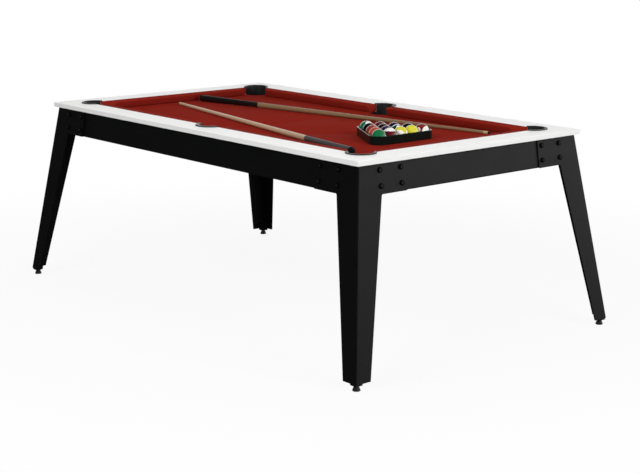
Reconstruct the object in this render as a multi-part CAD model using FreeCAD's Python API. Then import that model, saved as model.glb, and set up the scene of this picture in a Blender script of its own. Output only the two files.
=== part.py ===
"""A pool table for a dining room, with two cues, a ball rack and fifteen balls on its bed.

All sizes are in millimetres. X runs along the table, Y across it and Z up,
with the origin on the floor under the middle of the table.
"""
import FreeCAD, Part
import math
import os

from FreeCAD import Vector

# The whole table
table_length = 2060.0
table_width = 1180.0
table_height = 798.0

# The rails: a board with a block glued under it, mitred at the corners
rail_width = 110.0
rail_board_thickness = 19.0
rail_edge_round = 2.0
rail_step_height = 6.0
rail_step_depth = 1.0
rail_block_width = 76.0
rail_overhang = 15.3
bed_drop = 34.0

# The bed: a slab with the cloth stretched over it
cloth_thickness = 1.0
cloth_tuck = 60.0
slab_thickness = 19.0
slab_edge_gap = 18.0

# The cushions: rubber under cloth, glued to the rails
cushion_reach = 48.0
cushion_nose_drop = 6.0
cushion_top_fall = 2.0
cushion_nose_round = 3.5
cushion_foot_reach = 31.0
cushion_foot_gap = 1.5
corner_jaw_angle = 38.0
middle_jaw_angle = 76.0
jaw_gap = 1.0

# The pockets: one moulding with a rim, a wall and a cup
pocket_bore_radius = 48.0
pocket_wall = 3.0
corner_pocket_inset = 21.6
middle_pocket_inset = 11.6
corner_rim_radius = 58.0
middle_rim_radius = 63.0
rim_height = 4.0
rim_round = 1.5
cup_depth = 74.0
cup_bevel = 10.0
cup_bevel_share = 0.6
pocket_slab_gap = 1.0
pocket_rail_gap = 0.5
cup_cloth_gap = 0.5

# The steel frame: folded aprons that lean out, with a shelf for the slab
apron_depth = 111.0
apron_thickness = 3.0
apron_flange_width = 30.0
apron_bend_radius = 4.0
apron_mitre_gap = 2.5
shelf_overlap = 25.0
beam_width = 40.0
beam_height = 50.0
beam_wall = 2.0
beam_place_shares = (-0.6, -0.2, 0.2, 0.6)

# The legs: plates folded to an L that splay out both ways
leg_splay_length = 115.6
leg_splay_width = 106.8
leg_thickness = 5.0
leg_bend_radius = 7.0
leg_top_gap = 0.5
leg_bottom_height = 27.5
leg_flange_length = 220.7
leg_top_width = 114.2
leg_bottom_width = 70.3
leg_notch_round = 5.0
leg_corner_round = 2.0

# The bolts that hold the legs to the aprons
leg_bolt_radius = 6.0
leg_bolt_hole_gap = 0.5
leg_bolt_end_margin = 21.5
leg_bolt_spacing = 100.5
leg_bolt_top_margin = 25.0
leg_bolt_bottom_margin = 29.5
leg_bolt_head_radius = 10.5
leg_bolt_head_height = 6.6
leg_bolt_head_shares = ((1.0, 0.25), (0.9, 0.7), (0.62, 1.0))
leg_bolt_socket_flats = 8.0
leg_bolt_socket_depth = 4.0
leg_nut_flats = 19.0
leg_nut_height = 10.0
leg_bolt_end = 2.5
thread_gap = 0.05

# The bolts that hold the rails to the slab from below
rail_bolt_radius = 4.0
rail_bolt_hole_gap = 0.5
rail_bolt_inset = 30.0
rail_bolt_hole_depth = 12.0
rail_bolt_washer_radius = 9.0
rail_bolt_washer_thickness = 2.0
rail_bolt_head_flats = 13.0
rail_bolt_head_height = 5.3
long_rail_bolt_shares = (-0.7, -0.41, -0.146, 0.146, 0.41, 0.7)
short_rail_bolt_shares = (-0.41, 0.0, 0.41)

# The feet: a pad on a threaded stud that screws into a block in each leg
foot_block_width = 31.6
foot_block_bottom_height = 20.0
foot_block_height = 38.0
foot_inset = 20.8
pad_base_radius = 15.0
pad_top_radius = 10.0
pad_height = 16.0
pad_rim_height = 3.0
pad_edge_bevel = 1.0
stud_radius = 4.95
stud_neck_radius = 4.0
stud_neck_length = 8.0
stud_length = 34.0
stud_bore_depth = 36.0
stud_step_gap = 0.2

# The balls and the rack
ball_diameter = 57.2
ball_gap = 0.3
rest_gap = 0.3
rack_clearance = 4.5
rack_wall = 6.5
rack_height = 34.0
rack_edge_round = 2.0
rack_end_gap = 306.0
rack_centre_y_share = -0.022
rack_rows = 5
rack_sides = 3

# The cues, each with a wooden shaft, a wrapped grip and a rubber bumper
cue_end_room = 128.0
cue_butt_radius = 15.0
cue_grip_end_radius = 11.0
cue_tip_radius = 6.0
cue_grip_length = 364.0
cue_bumper_length = 11.0
cue_bumper_round = 6.0
cue_tenon_radius = 7.0
cue_tenon_length = 45.0
cue_tenon_gap = 0.05
front_cue_end_gap = 106.0
front_cue_side_gap = 50.0
front_cue_tip_y_share = -0.092
rear_cue_end_gap = 24.0
rear_cue_butt_y_share = 0.158
rear_cue_tip_gap = 54.0

overrun = 10.0

# Heights and half sizes that follow from the sizes above
half_length = table_length / 2
half_width = table_width / 2
board_bottom = table_height - rail_board_thickness
bed_top = table_height - bed_drop
slab_top = bed_top - cloth_thickness
slab_bottom = slab_top - slab_thickness
apron_bottom = board_bottom - apron_depth
leg_bolt_far_column = leg_flange_length - leg_bolt_end_margin
leg_bolt_columns = (leg_bolt_far_column - leg_bolt_spacing, leg_bolt_far_column)
leg_bolt_levels = (board_bottom - leg_bolt_top_margin, apron_bottom + leg_bolt_bottom_margin)
splay_height = board_bottom - leg_bottom_height
lean_length = leg_splay_length / splay_height
lean_width = leg_splay_width / splay_height
pocket_wall_radius = pocket_bore_radius + pocket_wall
nose_x = half_length - rail_width - cushion_reach
nose_y = half_width - rail_width - cushion_reach
rack_centre_x = nose_x - rack_end_gap
rack_centre_y = rack_centre_y_share * half_width
ball_pitch = ball_diameter + ball_gap
cue_length = 2 * nose_x - cue_end_room
full_turn_angle = 360.0
quarter_turn_angle = 90.0
hexagon_sides = 6
row_step = ball_pitch * math.sin(math.pi / rack_sides)
rack_reach = (rack_rows - 1) * ball_pitch / 2 / math.sin(math.pi / rack_sides)


def polar(radius, degrees):
    """Return the point at this radius and angle in the XY plane."""
    angle = math.radians(degrees)
    return Vector(radius * math.cos(angle), radius * math.sin(angle), 0)


def unit(vector):
    """Return a copy of the vector with a length of one."""
    copy = Vector(vector)
    copy.normalize()
    return copy


def rounded_wire(corners):
    """Join corners by lines, with an arc at each corner that has a radius.

    A corner is a pair: the point and the radius, which may be 0.
    """
    count = len(corners)
    pieces = []
    ends = []
    for index in range(count):
        point, radius = corners[index]
        if radius == 0:
            ends.append((point, point, None))
            continue
        back = unit(corners[index - 1][0] - point)
        ahead = unit(corners[(index + 1) % count][0] - point)
        half_angle = back.getAngle(ahead) / 2
        bisector = unit(back + ahead)
        reach = radius / math.tan(half_angle)
        middle = point + bisector * (radius / math.sin(half_angle) - radius)
        start = point + back * reach
        stop = point + ahead * reach
        ends.append((start, stop, Part.Arc(start, middle, stop).toShape()))
    for index in range(count):
        arc = ends[index][2]
        if arc is not None:
            pieces.append(arc)
        line_start = ends[index][1]
        line_stop = ends[(index + 1) % count][0]
        pieces.append(Part.LineSegment(line_start, line_stop).toShape())
    return Part.Wire(pieces)


def plate(corners, push):
    """Extrude the flat outline by the vector push."""
    return Part.Face(rounded_wire(corners)).extrude(push)


def turned(corners):
    """Spin an outline of (radius, height, corner radius) triples about the Z axis."""
    points = [(Vector(radius, 0, height), rounding) for radius, height, rounding in corners]
    face = Part.Face(rounded_wire(points))
    return face.revolve(Vector(0, 0, 0), Vector(0, 0, 1), full_turn_angle)


def box_between(low, high):
    """Return the box with these two opposite corners."""
    size = high - low
    return Part.makeBox(size.x, size.y, size.z, low)


def centred_box(half_x, half_y, bottom, top):
    """Return a box that is centred on the Z axis."""
    return box_between(Vector(-half_x, -half_y, bottom), Vector(half_x, half_y, top))


def hexagon(flats, height, base):
    """Return a six-sided prism with this distance across its flats."""
    radius = flats / 2 / math.cos(math.radians(full_turn_angle / hexagon_sides / 2))
    turns = [full_turn_angle * side / hexagon_sides for side in range(hexagon_sides)]
    corners = [(base + polar(radius, turn), 0) for turn in turns]
    return plate(corners, Vector(0, 0, height))


def rotated(shape, degrees):
    """Return a copy turned about the Z axis."""
    copy = shape.copy()
    copy.rotate(Vector(0, 0, 0), Vector(0, 0, 1), degrees)
    return copy


def moved(shape, offset):
    """Return a copy moved by the offset."""
    copy = shape.copy()
    copy.translate(offset)
    return copy


def mirrored(shape, sign_x, sign_y):
    """Return the shape in the quadrant that the two signs give."""
    copy = shape.copy()
    if sign_x < 0:
        copy = copy.mirror(Vector(0, 0, 0), Vector(1, 0, 0))
    if sign_y < 0:
        copy = copy.mirror(Vector(0, 0, 0), Vector(0, 1, 0))
    return copy


def save(name, shape):
    """Write one piece to its own file."""
    if not shape.isValid():
        print("not valid:", name)
    shape.exportStep("parts/" + name + ".step")


# Each side is built as the back one, which faces +Y, and then turned into place
sides = (
    ("back", 0, half_length, half_width, lean_width),
    ("left", 1, half_width, half_length, lean_length),
    ("front", 2, half_length, half_width, lean_width),
    ("right", 3, half_width, half_length, lean_length),
)
corners_of_table = (
    ("front_left", -1, -1),
    ("front_right", 1, -1),
    ("back_left", -1, 1),
    ("back_right", 1, 1),
)


def face_distance(half, lean, height):
    """How far the outer face of the leg plates stands from the table's middle."""
    return half - rail_overhang + lean * (board_bottom - height)


def slanted(thickness, lean):
    """Horizontal thickness of a leaning sheet."""
    return thickness * math.sqrt(1 + lean * lean)


def web_outer(half, lean, height):
    """Distance of the apron's outer face, which lies behind the leg plates."""
    return face_distance(half, lean, height) - slanted(leg_thickness, lean)


def web_inner(half, lean, height):
    """Distance of the apron's inner face."""
    return web_outer(half, lean, height) - slanted(apron_thickness, lean)


def pocket_centres():
    """Name, place and outward turn of the six pockets."""
    places = []
    corner_x = half_length - rail_width - corner_pocket_inset
    corner_y = half_width - rail_width - corner_pocket_inset
    for name, sign_x, sign_y in corners_of_table:
        places.append((name, Vector(sign_x * corner_x, sign_y * corner_y, 0), sign_x, sign_y))
    middle_y = half_width - rail_width - middle_pocket_inset
    for name, sign_y in (("front_middle", -1), ("back_middle", 1)):
        places.append((name, Vector(0, sign_y * middle_y, 0), 0, sign_y))
    return places


def pocket_bores(radius, bottom, top):
    """Cylinders through all six pockets, to cut the pieces that they pass."""
    bores = []
    for name, centre, sign_x, sign_y in pocket_centres():
        bores.append(moved(Part.makeCylinder(radius, top - bottom), centre + Vector(0, 0, bottom)))
    return bores


def rail_bolt_places():
    """Places of the bolts that hold the rails down."""
    places = []
    across = half_width - rail_width + rail_bolt_inset
    along = half_length - rail_width + rail_bolt_inset
    for share in long_rail_bolt_shares:
        for sign in (-1, 1):
            places.append(Vector(share * half_length, sign * across, 0))
    for share in short_rail_bolt_shares:
        for sign in (-1, 1):
            places.append(Vector(sign * along, share * half_width, 0))
    return places


def rail_bolt_holes(radius, bottom, top):
    """Cylinders on all rail bolt places."""
    return [moved(Part.makeCylinder(radius, top - bottom), place + Vector(0, 0, bottom))
            for place in rail_bolt_places()]


def mitred(outline, corner_along, corner_out, reach, gap):
    """Extrude an outline in the YZ plane along X and cut both ends at 45 degrees.

    The cut passes through the corner at (corner_along, corner_out), less the gap.
    """
    far = corner_along + reach
    start = [(Vector(-far, point.y, point.z), rounding) for point, rounding in outline]
    bar = plate(start, Vector(2 * far, 0, 0))
    low = bar.BoundBox.ZMin - overrun
    high = bar.BoundBox.ZMax + overrun
    inner = corner_along - gap - reach
    outer = corner_along - gap + reach
    plan = [
        (Vector(-outer, corner_out + reach, low), 0),
        (Vector(outer, corner_out + reach, low), 0),
        (Vector(inner, corner_out - reach, low), 0),
        (Vector(-inner, corner_out - reach, low), 0),
    ]
    return bar.common(plate(plan, Vector(0, 0, high - low)))


def make_rail(half_run, half_out):
    """The board with its eased edges and set-back lower edge, and the block under it."""
    inner = half_out - rail_width
    block_outer = inner + rail_block_width
    step = half_out - rail_step_depth
    step_height = board_bottom + rail_step_height
    outline = [
        (Vector(0, inner, bed_top), 0),
        (Vector(0, inner, table_height), 0),
        (Vector(0, half_out, table_height), rail_edge_round),
        (Vector(0, half_out, step_height), 0),
        (Vector(0, step, step_height), 0),
        (Vector(0, step, board_bottom), 0),
        (Vector(0, block_outer, board_bottom), 0),
        (Vector(0, block_outer, bed_top), 0),
    ]
    return mitred(outline, half_run, half_out, rail_width + overrun, 0)


def make_rails():
    """Four rails with their pocket cut-outs and the holes for their bolts."""
    cuts = pocket_bores(pocket_wall_radius + pocket_rail_gap, bed_top - overrun, table_height + overrun)
    cuts += rail_bolt_holes(rail_bolt_radius + thread_gap, bed_top - overrun, bed_top + rail_bolt_hole_depth)
    for name, turns, half_run, half_out, lean in sides:
        rail = rotated(make_rail(half_run, half_out), turns * quarter_turn_angle)
        save("rail_" + name, rail.cut(cuts))


def slab_half_sizes():
    """The slab stops short of the aprons, to clear the ends of the leg bolts."""
    along = web_inner(half_length, lean_length, slab_top) - slab_edge_gap
    across = web_inner(half_width, lean_width, slab_top) - slab_edge_gap
    return along, across


def make_bed():
    """The slab and its cloth, both open at the pockets."""
    along, across = slab_half_sizes()
    hole_radius = pocket_wall_radius + pocket_slab_gap
    slab = centred_box(along, across, slab_bottom, slab_top)
    slab = slab.cut(pocket_bores(hole_radius, slab_bottom - overrun, slab_top + overrun))
    bolt_hole_radius = rail_bolt_radius + rail_bolt_hole_gap
    slab = slab.cut(rail_bolt_holes(bolt_hole_radius, slab_bottom - overrun, slab_top + overrun))
    save("bed_slab", slab)
    cloth_along = half_length - rail_width + cloth_tuck
    cloth_across = half_width - rail_width + cloth_tuck
    cloth = centred_box(cloth_along, cloth_across, slab_top, bed_top)
    cloth = cloth.cut(pocket_bores(hole_radius, slab_top - overrun, bed_top + overrun))
    cloth = cloth.cut(rail_bolt_holes(bolt_hole_radius, slab_top - overrun, bed_top + overrun))
    save("bed_cloth", cloth)


def cushion_section(face_distance_y, start_x):
    """Outline of a cushion: a sloping top, a round nose and an undercut face."""
    face = face_distance_y
    nose = face - cushion_reach
    foot = bed_top + cushion_foot_gap
    return [
        (Vector(start_x, face, foot), 0),
        (Vector(start_x, face - cushion_foot_reach, foot), 0),
        (Vector(start_x, nose, table_height - cushion_nose_drop), cushion_nose_round),
        (Vector(start_x, nose + cushion_nose_round, table_height - cushion_top_fall), cushion_nose_round),
        (Vector(start_x, face, table_height), 0),
    ]


def jaw(inset, jaw_angle):
    """How far from the pocket's centre a cushion ends, at the rail and at its nose."""
    back = math.sqrt(pocket_wall_radius ** 2 - inset ** 2) + jaw_gap
    nose = back + cushion_reach / math.tan(math.radians(jaw_angle))
    return back, nose


def make_cushion(left_back, left_nose, right_back, right_nose, face):
    """One cushion along the rail face at this distance, between two jaws."""
    low = bed_top - overrun
    run = right_back - left_back + 2 * overrun
    bar = plate(cushion_section(face, left_back - overrun), Vector(run, 0, 0))
    slope_left = (left_nose - left_back) / cushion_reach
    slope_right = (right_nose - right_back) / cushion_reach
    nose = face - cushion_reach
    plan = [
        (Vector(left_back - slope_left * overrun, face + overrun, low), 0),
        (Vector(right_back - slope_right * overrun, face + overrun, low), 0),
        (Vector(right_nose + slope_right * overrun, nose - overrun, low), 0),
        (Vector(left_nose + slope_left * overrun, nose - overrun, low), 0),
    ]
    return bar.common(plate(plan, Vector(0, 0, table_height + overrun - low)))


def make_cushions():
    """Two cushions on each long rail and one on each short rail."""
    corner_back, corner_nose = jaw(corner_pocket_inset, corner_jaw_angle)
    middle_back, middle_nose = jaw(middle_pocket_inset, middle_jaw_angle)
    pocket_x = half_length - rail_width - corner_pocket_inset
    pocket_y = half_width - rail_width - corner_pocket_inset
    face = half_width - rail_width
    right = make_cushion(middle_back, middle_nose, pocket_x - corner_back, pocket_x - corner_nose, face)
    save("cushion_back_right", right)
    save("cushion_back_left", mirrored(right, -1, 1))
    save("cushion_front_right", mirrored(right, 1, -1))
    save("cushion_front_left", mirrored(right, -1, -1))
    end = half_length - rail_width
    back = pocket_y - corner_back
    nose = pocket_y - corner_nose
    short = make_cushion(-back, -nose, back, nose, end)
    save("cushion_left", rotated(short, quarter_turn_angle))
    save("cushion_right", rotated(short, -quarter_turn_angle))


def make_pocket(rim_radius, inset, sign_x, sign_y):
    """One moulding: the cup under the bed, the wall behind the jaws and the rim on the rails."""
    cup_bottom = bed_top - cup_depth
    bore = pocket_bore_radius
    wall = pocket_wall_radius
    rim_top = table_height + rim_height
    shell = turned([
        (0, cup_bottom, 0),
        (wall - cup_bevel, cup_bottom, 0),
        (wall, cup_bottom + cup_bevel, 0),
        (wall, table_height, 0),
        (rim_radius, table_height, 0),
        (rim_radius, rim_top, rim_round),
        (bore, rim_top, rim_round),
        (bore, cup_bottom + cup_bevel + cup_bevel_share * pocket_wall, 0),
        (wall - cup_bevel - cup_bevel_share * pocket_wall, cup_bottom + pocket_wall, 0),
        (0, cup_bottom + pocket_wall, 0),
    ])
    mouth_bottom = bed_top - cup_cloth_gap
    reach = rim_radius + overrun
    far = reach if sign_x == 0 else inset
    mouth = box_between(Vector(-reach, -reach, mouth_bottom), Vector(far, inset, rim_top + overrun))
    return mirrored(shell.cut(mouth), sign_x, sign_y)


def make_pockets():
    """Four corner pockets and two middle ones."""
    for name, centre, sign_x, sign_y in pocket_centres():
        if sign_x == 0:
            pocket = make_pocket(middle_rim_radius, middle_pocket_inset, sign_x, sign_y)
        else:
            pocket = make_pocket(corner_rim_radius, corner_pocket_inset, sign_x, sign_y)
        save("pocket_" + name, moved(pocket, centre))


def make_apron(half_run, half_out, lean, lean_run):
    """A folded sheet: a leaning web, a return along the bottom and a welded shelf."""
    bottom = apron_bottom
    sheet = apron_thickness
    outline = [
        (Vector(0, web_outer(half_out, lean, board_bottom), board_bottom), 0),
        (Vector(0, web_outer(half_out, lean, bottom), bottom), apron_bend_radius),
        (Vector(0, web_inner(half_out, lean, bottom) - apron_flange_width, bottom), 0),
        (Vector(0, web_inner(half_out, lean, bottom) - apron_flange_width, bottom + sheet), 0),
        (Vector(0, web_inner(half_out, lean, bottom + sheet), bottom + sheet), 0),
        (Vector(0, web_inner(half_out, lean, board_bottom), board_bottom), 0),
    ]
    middle_height = (board_bottom + bottom) / 2
    corner_along = web_outer(half_run, lean_run, middle_height)
    corner_out = web_outer(half_out, lean, middle_height)
    sheet_part = mitred(outline, corner_along, corner_out, leg_flange_length, apron_mitre_gap)
    shelf_bottom = slab_bottom - sheet
    shelf_inner = web_inner(half_out, lean, slab_top) - slab_edge_gap - shelf_overlap
    shelf_end = face_distance(half_run, lean_run, board_bottom) - leg_flange_length
    shelf = [
        (Vector(-shelf_end, web_inner(half_out, lean, shelf_bottom), shelf_bottom), 0),
        (Vector(-shelf_end, shelf_inner, shelf_bottom), 0),
        (Vector(-shelf_end, shelf_inner, slab_bottom), 0),
        (Vector(-shelf_end, web_inner(half_out, lean, slab_bottom), slab_bottom), 0),
    ]
    return sheet_part.fuse(plate(shelf, Vector(2 * shelf_end, 0, 0))).removeSplitter()


def leg_bolt_frames():
    """Place and outward direction of each leg bolt in the +X +Y quadrant.

    The columns stand upright and are set out from the leg's corner at its top.
    """
    top = outer_corner(board_bottom)
    frames = []
    for column in leg_bolt_columns:
        for level in leg_bolt_levels:
            corner = outer_corner(level)
            frames.append((Vector(top.x - column, corner.y, level), unit(Vector(0, 1, lean_width))))
            frames.append((Vector(corner.x, top.y - column, level), unit(Vector(1, 0, lean_length))))
    return frames


def on_leg(shape, place, direction):
    """Move a shape that stands on Z to a bolt's place, with +Z turned outward."""
    copy = shape.copy()
    copy.Placement = FreeCAD.Placement(place, FreeCAD.Rotation(Vector(0, 0, 1), direction))
    return copy


def in_all_quadrants(shapes):
    """Copies of shapes of the +X +Y quadrant in all four quadrants."""
    copies = []
    for name, sign_x, sign_y in corners_of_table:
        for shape in shapes:
            copies.append(mirrored(shape, sign_x, sign_y))
    return copies


def leg_bolt_holes():
    """Clearance holes for the leg bolts, in the +X +Y quadrant."""
    reach = leg_thickness + apron_thickness + overrun
    hole = Part.makeCylinder(leg_bolt_radius + leg_bolt_hole_gap, reach + overrun, Vector(0, 0, -reach))
    return [on_leg(hole, place, direction) for place, direction in leg_bolt_frames()]


def make_aprons():
    """Four aprons, drilled for the leg bolts."""
    holes = in_all_quadrants(leg_bolt_holes())
    aprons = []
    for name, turns, half_run, half_out, lean in sides:
        lean_run = lean_width if lean == lean_length else lean_length
        apron = rotated(make_apron(half_run, half_out, lean, lean_run), turns * quarter_turn_angle)
        apron = apron.cut(holes)
        save("apron_" + name, apron)
        aprons.append(apron)
    return aprons


def make_cross_beams(aprons):
    """Rectangular tubes between the long aprons, notched for the shelves and under the slab."""
    top = slab_bottom
    bottom = slab_bottom - beam_height
    near_top = web_inner(half_width, lean_width, top)
    near_bottom = web_inner(half_width, lean_width, bottom)
    beams = []
    for share in beam_place_shares:
        left = share * half_length - beam_width / 2
        outline = [
            (Vector(left, near_bottom, bottom), 0),
            (Vector(left, near_top, top), 0),
            (Vector(left, -near_top, top), 0),
            (Vector(left, -near_bottom, bottom), 0),
        ]
        beam = plate(outline, Vector(beam_width, 0, 0))
        low = Vector(left + beam_wall, -near_bottom - overrun, bottom + beam_wall)
        high = Vector(left + beam_width - beam_wall, near_bottom + overrun, top - beam_wall)
        beams.append(beam.cut(box_between(low, high)).cut(aprons))
    save("cross_beams", Part.makeCompound([solid for beam in beams for solid in beam.Solids]))


def leg_outline(lean):
    """Outline of one leg face: distance in from the corner, height and corner radius.

    The flange ends upright, while the corner leans out, and is flush with the apron below.
    """
    top = board_bottom - leg_top_gap
    return [
        (0, top, 0),
        (leg_flange_length + lean * leg_top_gap, top, leg_corner_round),
        (leg_flange_length + lean * apron_depth, apron_bottom, leg_corner_round),
        (leg_top_width, apron_bottom, leg_notch_round),
        (leg_bottom_width, leg_bottom_height, leg_corner_round),
        (0, leg_bottom_height, 0),
    ]


def outer_corner(height):
    """Point on the outer corner line of the +X +Y leg."""
    along = face_distance(half_length, lean_length, height)
    across = face_distance(half_width, lean_width, height)
    return Vector(along, across, height)


def inner_corner(height):
    """Point where the inner faces of the +X +Y leg meet."""
    along = slanted(leg_thickness, lean_length)
    across = slanted(leg_thickness, lean_width)
    return outer_corner(height) - Vector(along, across, 0)


def edges_on(shape, corner):
    """The edges of the shape that run along the line that corner(height) draws."""
    found = []
    for edge in shape.Edges:
        ends = [vertex.Point for vertex in edge.Vertexes]
        if max((end - corner(end.z)).Length for end in ends) < thread_gap:
            found.append(edge)
    return found


def foot_place():
    """The axis of the foot under the +X +Y leg."""
    corner = outer_corner(leg_bottom_height)
    return Vector(corner.x - foot_inset, corner.y - foot_inset, 0)


def make_leg():
    """A plate folded to an L, with bolt flanges at its top and a foot block at its bottom."""
    wide = []
    for inset, height, rounding in leg_outline(lean_length):
        wide.append((outer_corner(height) - Vector(inset, 0, 0), rounding))
    narrow = []
    for inset, height, rounding in leg_outline(lean_width):
        narrow.append((outer_corner(height) - Vector(0, inset, 0), rounding))
    leg = plate(wide, Vector(0, -slanted(leg_thickness, lean_width), 0))
    leg = leg.fuse(plate(narrow, Vector(-slanted(leg_thickness, lean_length), 0, 0))).removeSplitter()
    leg = leg.makeFillet(leg_bend_radius, edges_on(leg, outer_corner))
    leg = leg.makeFillet(leg_bend_radius - leg_thickness, edges_on(leg, inner_corner))
    block = Part.makeLoft([
        block_square(foot_block_bottom_height),
        block_square(foot_block_bottom_height + foot_block_height),
    ], True, True)
    leg = leg.fuse(block).removeSplitter()
    bore = Part.makeCylinder(stud_radius + thread_gap, stud_bore_depth + overrun)
    leg = leg.cut(moved(bore, foot_place() + Vector(0, 0, foot_block_bottom_height - overrun)))
    return leg.cut(leg_bolt_holes())


def block_square(height):
    """Outline of the foot block at this height, against the inner faces of the leg."""
    corner = inner_corner(height)
    side = foot_block_width
    far = corner - Vector(side, side, 0)
    points = [corner, corner - Vector(side, 0, 0), far, corner - Vector(0, side, 0)]
    return Part.makePolygon(points + [corner])


def make_legs():
    """Four legs, each mirrored into its own corner."""
    leg = make_leg()
    for name, sign_x, sign_y in corners_of_table:
        save("leg_" + name, mirrored(leg, sign_x, sign_y))


def make_leg_bolt():
    """A button head bolt with a hexagon socket; its head stands on Z = 0."""
    grip = leg_thickness + apron_thickness + leg_nut_height + leg_bolt_end
    radius = leg_bolt_head_radius
    height = leg_bolt_head_height
    crown = [(radius * wide, height * high, 0) for wide, high in leg_bolt_head_shares]
    bolt = turned([
        (0, -grip, 0),
        (leg_bolt_radius, -grip, 0),
        (leg_bolt_radius, 0, 0),
        (leg_bolt_head_radius, 0, 0),
    ] + crown + [(0, leg_bolt_head_height, 0)])
    socket_base = Vector(0, 0, leg_bolt_head_height - leg_bolt_socket_depth)
    return bolt.cut(hexagon(leg_bolt_socket_flats, leg_bolt_socket_depth + overrun, socket_base))


def make_leg_nut():
    """A hexagon nut behind the apron."""
    inner_face = -(leg_thickness + apron_thickness)
    nut = hexagon(leg_nut_flats, leg_nut_height, Vector(0, 0, inner_face - leg_nut_height))
    bore = Part.makeCylinder(leg_bolt_radius + thread_gap, leg_nut_height + 2 * overrun)
    return nut.cut(moved(bore, Vector(0, 0, inner_face - leg_nut_height - overrun)))


def make_leg_fasteners():
    """Eight bolts and nuts on each leg."""
    bolt = make_leg_bolt()
    nut = make_leg_nut()
    bolts = [on_leg(bolt, place, direction) for place, direction in leg_bolt_frames()]
    nuts = [on_leg(nut, place, direction) for place, direction in leg_bolt_frames()]
    save("leg_bolts", Part.makeCompound(in_all_quadrants(bolts)))
    save("leg_nuts", Part.makeCompound(in_all_quadrants(nuts)))


def make_rail_bolts():
    """Hexagon bolts with washers, up through the slab into the rail blocks."""
    washer_bottom = slab_bottom - rail_bolt_washer_thickness
    shank_top = bed_top + rail_bolt_hole_depth - thread_gap
    head_base = Vector(0, 0, washer_bottom - rail_bolt_head_height)
    bolt = hexagon(rail_bolt_head_flats, rail_bolt_head_height, head_base)
    washer_base = Vector(0, 0, washer_bottom)
    washer = Part.makeCylinder(rail_bolt_washer_radius, rail_bolt_washer_thickness, washer_base)
    shank = Part.makeCylinder(rail_bolt_radius, shank_top - washer_bottom, Vector(0, 0, washer_bottom))
    bolt = bolt.fuse([washer, shank]).removeSplitter()
    save("rail_bolts", Part.makeCompound([moved(bolt, place) for place in rail_bolt_places()]))


def make_feet():
    """A pad and a threaded stud under each leg."""
    neck_bottom = pad_height - stud_neck_length
    pad = turned([
        (0, 0, 0),
        (pad_base_radius - pad_edge_bevel, 0, 0),
        (pad_base_radius, pad_edge_bevel, 0),
        (pad_base_radius, pad_rim_height, 0),
        (pad_top_radius, pad_height, 0),
        (stud_neck_radius + thread_gap, pad_height, 0),
        (stud_neck_radius + thread_gap, neck_bottom - stud_step_gap, 0),
        (0, neck_bottom - stud_step_gap, 0),
    ])
    shoulder = pad_height + stud_step_gap
    stud = turned([
        (0, neck_bottom, 0),
        (stud_neck_radius, neck_bottom, 0),
        (stud_neck_radius, shoulder, 0),
        (stud_radius, shoulder, 0),
        (stud_radius, shoulder + stud_length, 0),
        (0, shoulder + stud_length, 0),
    ])
    place = foot_place()
    for name, sign_x, sign_y in corners_of_table:
        offset = Vector(sign_x * place.x, sign_y * place.y, 0)
        save("foot_pad_" + name, moved(pad, offset))
        save("foot_stud_" + name, moved(stud, offset))


def rack_triangle(offset, height):
    """A triangle round the corner balls, with corners of the offset's radius."""
    radius = rack_reach + 2 * offset
    centre = Vector(rack_centre_x, rack_centre_y, height)
    turns = [full_turn_angle / 2 + full_turn_angle * side / rack_sides for side in range(rack_sides)]
    return [(centre + polar(radius, turn), offset) for turn in turns]


def make_rack():
    """The moulded ball rack, with rounded corners and eased edges."""
    bottom = bed_top + rest_gap
    inner = ball_diameter / 2 + rack_clearance
    outside = plate(rack_triangle(inner + rack_wall, bottom), Vector(0, 0, rack_height))
    inside = plate(rack_triangle(inner, bottom - overrun), Vector(0, 0, rack_height + 2 * overrun))
    rack = outside.cut(inside)
    top = bottom + rack_height
    lowest = top - thread_gap
    edges = [edge for edge in rack.Edges if min(end.Point.z for end in edge.Vertexes) > lowest]
    save("ball_rack", rack.makeFillet(rack_edge_round, edges))


def make_balls():
    """Fifteen balls, row by row from the rack's tip."""
    tip = rack_centre_x - rack_reach
    height = bed_top + rest_gap + ball_diameter / 2
    index = 0
    for row in range(rack_rows):
        for place in range(row + 1):
            along = tip + row * row_step
            across = rack_centre_y + (place - row / 2) * ball_pitch
            ball = Part.makeSphere(ball_diameter / 2, Vector(along, across, height))
            index += 1
            save("ball_" + str(index), ball)


def lay_cue(shape, butt, tip_y, points_right):
    """Lay a cue that was built along X: its butt and its tip both rest on the cloth."""
    swing = math.degrees(math.asin((tip_y - butt.y) / cue_length))
    turn = swing if points_right else full_turn_angle / 2 - swing
    drop = math.degrees(math.asin((cue_butt_radius - cue_tip_radius) / cue_length))
    copy = shape.copy()
    copy.rotate(Vector(0, 0, 0), Vector(0, 1, 0), drop)
    copy.rotate(Vector(0, 0, 0), Vector(0, 0, 1), turn)
    copy.translate(butt + Vector(0, 0, bed_top + rest_gap + cue_butt_radius))
    return copy


def along_x(corners):
    """Spin an outline of (distance, radius, corner radius) triples about the X axis."""
    points = [(Vector(distance, 0, radius), rounding) for distance, radius, rounding in corners]
    return Part.Face(rounded_wire(points)).revolve(Vector(0, 0, 0), Vector(1, 0, 0), full_turn_angle)


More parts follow.
